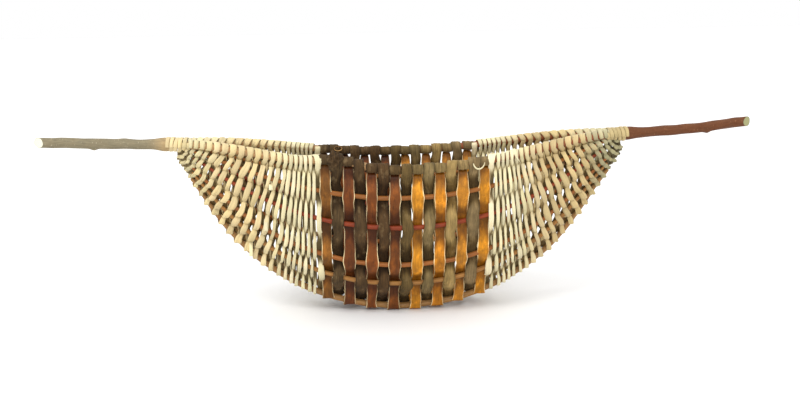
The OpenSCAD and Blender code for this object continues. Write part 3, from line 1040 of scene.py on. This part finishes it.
def rim_sleeve(bundle, s, phi):
    """A band of bark wound once round a rim."""
    count = 72
    a = np.linspace(math.radians(-110), math.radians(265), count)
    r = float(rim_r(s)) + np.linspace(0.6, 0.9, count) * MM
    top, up, along, _, _ = row_plane(s)
    flat = rim_centre(s, phi) + np.stack([r * np.cos(a), r * np.sin(a)], 1)
    slide = np.linspace(-0.8, 0.8, count) * MM
    slope = (rim_y(s + 0.01) - rim_y(s - 0.01)) / (0.02 * HALF_SPAN) * (-1 if phi == 0 else 1)
    path = top + flat[:, :1] * np.array([0, 1, 0]) + flat[:, 1:] * up + slide[:, None] * along
    length = travel(path)
    width = SLEEVE_W * (1 + wander(length, 0.03, 0.05)) + wander(length, 0.008, 0.15 * MM)
    section = flat_profile(13)
    across = section[0]
    lift = folds(across, length, 0.16 * MM, (2.4, 5.0, 8.5)) - 0.25 * MM * across**2
    tint = bark_tone(s) * (0.98 + wander(length, 0.03, 0.14))[:, None, None]
    # Painted shade: the band is darker towards both edges
    tint = tint * (1 - 0.45 * np.abs(across) ** 4)[:, None]
    ribbon(bundle, path, unit(np.array([1, slope, 0])), width, SLEEVE_T, section, tint, lift)


def rim_sleeves(node, phi):
    """The bands of bark on a rim between the hooks of the dark strips."""
    bundle = Bundle()
    for n in range(AMBER_STRIPS):
        rim_sleeve(bundle, strip_s(2 * n) + rng.normal(0, 0.4 * MM) / HALF_SPAN, phi)
    bundle.piece(node + "_bands", "dark_bark", node, [DARK])


rim_sleeves("front_rim_wraps", 0)
rim_sleeves("back_rim_wraps", math.pi)

# ---------------------------------------------------------------- knot, loops and loose ends


KNOT_R = 10.6 * MM


def knot():
    """A lump of folded bark on the front rim at the panel's left end."""
    ball = bmesh.new()
    bmesh.ops.create_icosphere(ball, subdivisions=5, radius=1)
    low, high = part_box("bark_knot")
    centre = (low + high) / 2 - Vector((0, 0, 1.0 * MM))
    half = (high - low) / 2
    tints, grains = [], []
    for v in ball.verts:
        d = v.co.copy()
        fold = noise.noise(d * 2.1 + Vector((3, 1, 4)))
        ridge = 1 - abs(noise.noise(Vector((d.x * 5.5, d.y * 2.2, d.z * 2.2))))
        fine = noise.noise(Vector((d.x * 16, d.y * 6, d.z * 6)))
        out = 0.78 + 0.3 * fold + 0.16 * ridge**3 + 0.05 * fine
        v.co = Vector((d.x * KNOT_R, d.y * half.y * 0.86, d.z * half.z * 0.86)) * out
        # Painted shade: the bark is darker in the folds between its raised ridges
        tints.append(BARKS[1] * (0.4 + 0.6 * ridge**2))
        grains.append((v.co.x, v.co.z, 5.0 + v.co.y * 40))
        v.co += centre
    mesh = bpy.data.meshes.new("bark_knot_lump")
    ball.to_mesh(mesh)
    ball.free()
    mesh.materials.append(DARK)
    add_piece("bark_knot_lump", mesh, "bark_knot", np.array(tints), grains)


knot()


def bark_loop():
    """A small flattened loop of bark in front of the back rim, tan on its inner side."""
    low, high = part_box("bark_loop")
    centre = np.array((low + high) / 2)
    r = (high.x - low.x) / 2 - 0.8 * MM
    a = np.linspace(math.radians(250), math.radians(-130), 60)
    path = centre + np.stack([r * np.cos(a), 0 * a, 0.62 * r * np.sin(a)], 1)
    bundle = Bundle()
    across, height = flat_profile(7)
    inner = (height < 0)[None, :, None]
    tint = np.where(inner, linear(196, 152, 96), BARKS[1]) * np.ones((len(a), 1, 1))
    ribbon(bundle, path, (0, 1, 0), 3.4 * MM, 1.3 * MM, (across, height), tint)
    bundle.piece("bark_loop_band", "dark_bark", "bark_loop", [DARK])


bark_loop()

LOOSE_END_S = 0.475


def hanging_loop(bundle):
    """A thin loop that hangs in front of the rim."""
    low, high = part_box("rush_loop")
    centre = np.array((low + high) / 2)
    r = (high.x - low.x) / 2 - 0.6 * MM
    a = np.linspace(math.radians(-172), math.radians(-4), 50)
    out = 1.2 * MM + 1.5 * MM * np.cos(a)
    path = centre + np.stack([r * np.cos(a), out, 1.15 * r * np.sin(a) + 6 * MM], 1)
    width = (1.1 + 0.8 * np.sin(np.linspace(0.2, 3.0, len(a)))) * MM
    ribbon(bundle, path, (0, -0.3, 1), width, 0.8 * MM, profile(10, 0.8), SEAM_RUSH * 1.05)


def loose_end(bundle):
    """A strand's pointed end, which has sprung out of the weave below the rim."""
    rim = hull_point(LOOSE_END_S, 0)
    offsets = np.array([(-5, -3, 6.2), (-3.2, -7.0, 3.5), (0.25, -7.75, -4.0), (3.5, -9.5, -9.0)])
    line = through(rim + offsets * MM, 40)
    width = 5.0 * MM * (1 - smooth(np.linspace(-0.1, 1, 40))) + 0.3 * MM
    ribbon(bundle, line, (1, 0, 0.4), width, 1.1 * MM, profile(12, 0.8, 0.4), SEAM_RUSH)


def rush_loop():
    bundle = Bundle()
    hanging_loop(bundle)
    loose_end(bundle)
    bundle.piece("rush_loop_strand", "pale_rush", "rush_loop", [RUSH])


rush_loop()

# ---------------------------------------------------------------- floor, light and camera


FLOOR_HALF = 12.0


def stage():
    """A pale floor in an even white room."""
    mesh = bpy.data.meshes.new("floor")
    corners = [(x * FLOOR_HALF, y * FLOOR_HALF, 0) for x, y in ((-1, -1), (1, -1), (1, 1), (-1, 1))]
    mesh.from_pydata(corners, [], [(0, 1, 2, 3)])
    floor = bpy.data.objects.new("floor", mesh)
    t = Tree("floor")
    t.shader.inputs["Base Color"].default_value = (0.85, 0.85, 0.85, 1)
    t.shader.inputs["Roughness"].default_value = 0.6
    mesh.materials.append(t.material)
    bpy.context.scene.collection.objects.link(floor)
    world = bpy.data.worlds.new("studio")
    world.use_nodes = True
    background = world.node_tree.nodes["Background"]
    background.inputs["Color"].default_value = (1.0, 1.0, 1.0, 1)
    background.inputs["Strength"].default_value = 1.0
    bpy.context.scene.world = world


def sun(name, toward, strength, softness):
    """A broad soft light that falls from a direction, given as the way back to it."""
    data = bpy.data.lights.new(name, "SUN")
    data.energy = strength
    data.angle = math.radians(softness)
    obj = bpy.data.objects.new(name, data)
    obj.rotation_euler = Vector(toward).to_track_quat("Z", "Y").to_euler()
    bpy.context.scene.collection.objects.link(obj)


AZIMUTH = math.radians(4.1)
ELEVATION = math.radians(6.5)
DISTANCE = 1.44
ROLL = math.radians(0.9)
FRAME_WIDTH = 0.958
AIM_BELOW_TIPS = 84.5 * MM
AIM_LEFT = 1.2 * MM


def camera():
    """The eye looks from in front and a little above the tips, and aims lower, at the belly."""
    data = bpy.data.cameras.new("camera")
    data.sensor_width = 36
    data.lens = 36 * DISTANCE / FRAME_WIDTH
    data.clip_end = 50
    obj = bpy.data.objects.new("camera", data)
    tips = Vector((0, 0, TIP_Z))
    level = math.cos(ELEVATION)
    look = Vector((math.sin(AZIMUTH) * level, math.cos(AZIMUTH) * level, -math.sin(ELEVATION)))
    eye = tips - look * DISTANCE
    target = tips - Vector((AIM_LEFT, 0, AIM_BELOW_TIPS))
    turn = (target - eye).to_track_quat("-Z", "Y").to_matrix().to_4x4() @ Matrix.Rotation(-ROLL, 4, "Z")
    obj.matrix_world = Matrix.Translation(eye) @ turn
    bpy.context.scene.collection.objects.link(obj)
    bpy.context.scene.camera = obj


stage()
sun("key", (-0.55, -0.6, 1.0), 1.3, 30)
sun("front", (0.15, -1.0, 0.55), 0.9, 40)
sun("top", (0.3, 0.3, 1.0), 0.4, 60)
camera()
bpy.context.scene.view_settings.view_transform = "Standard"
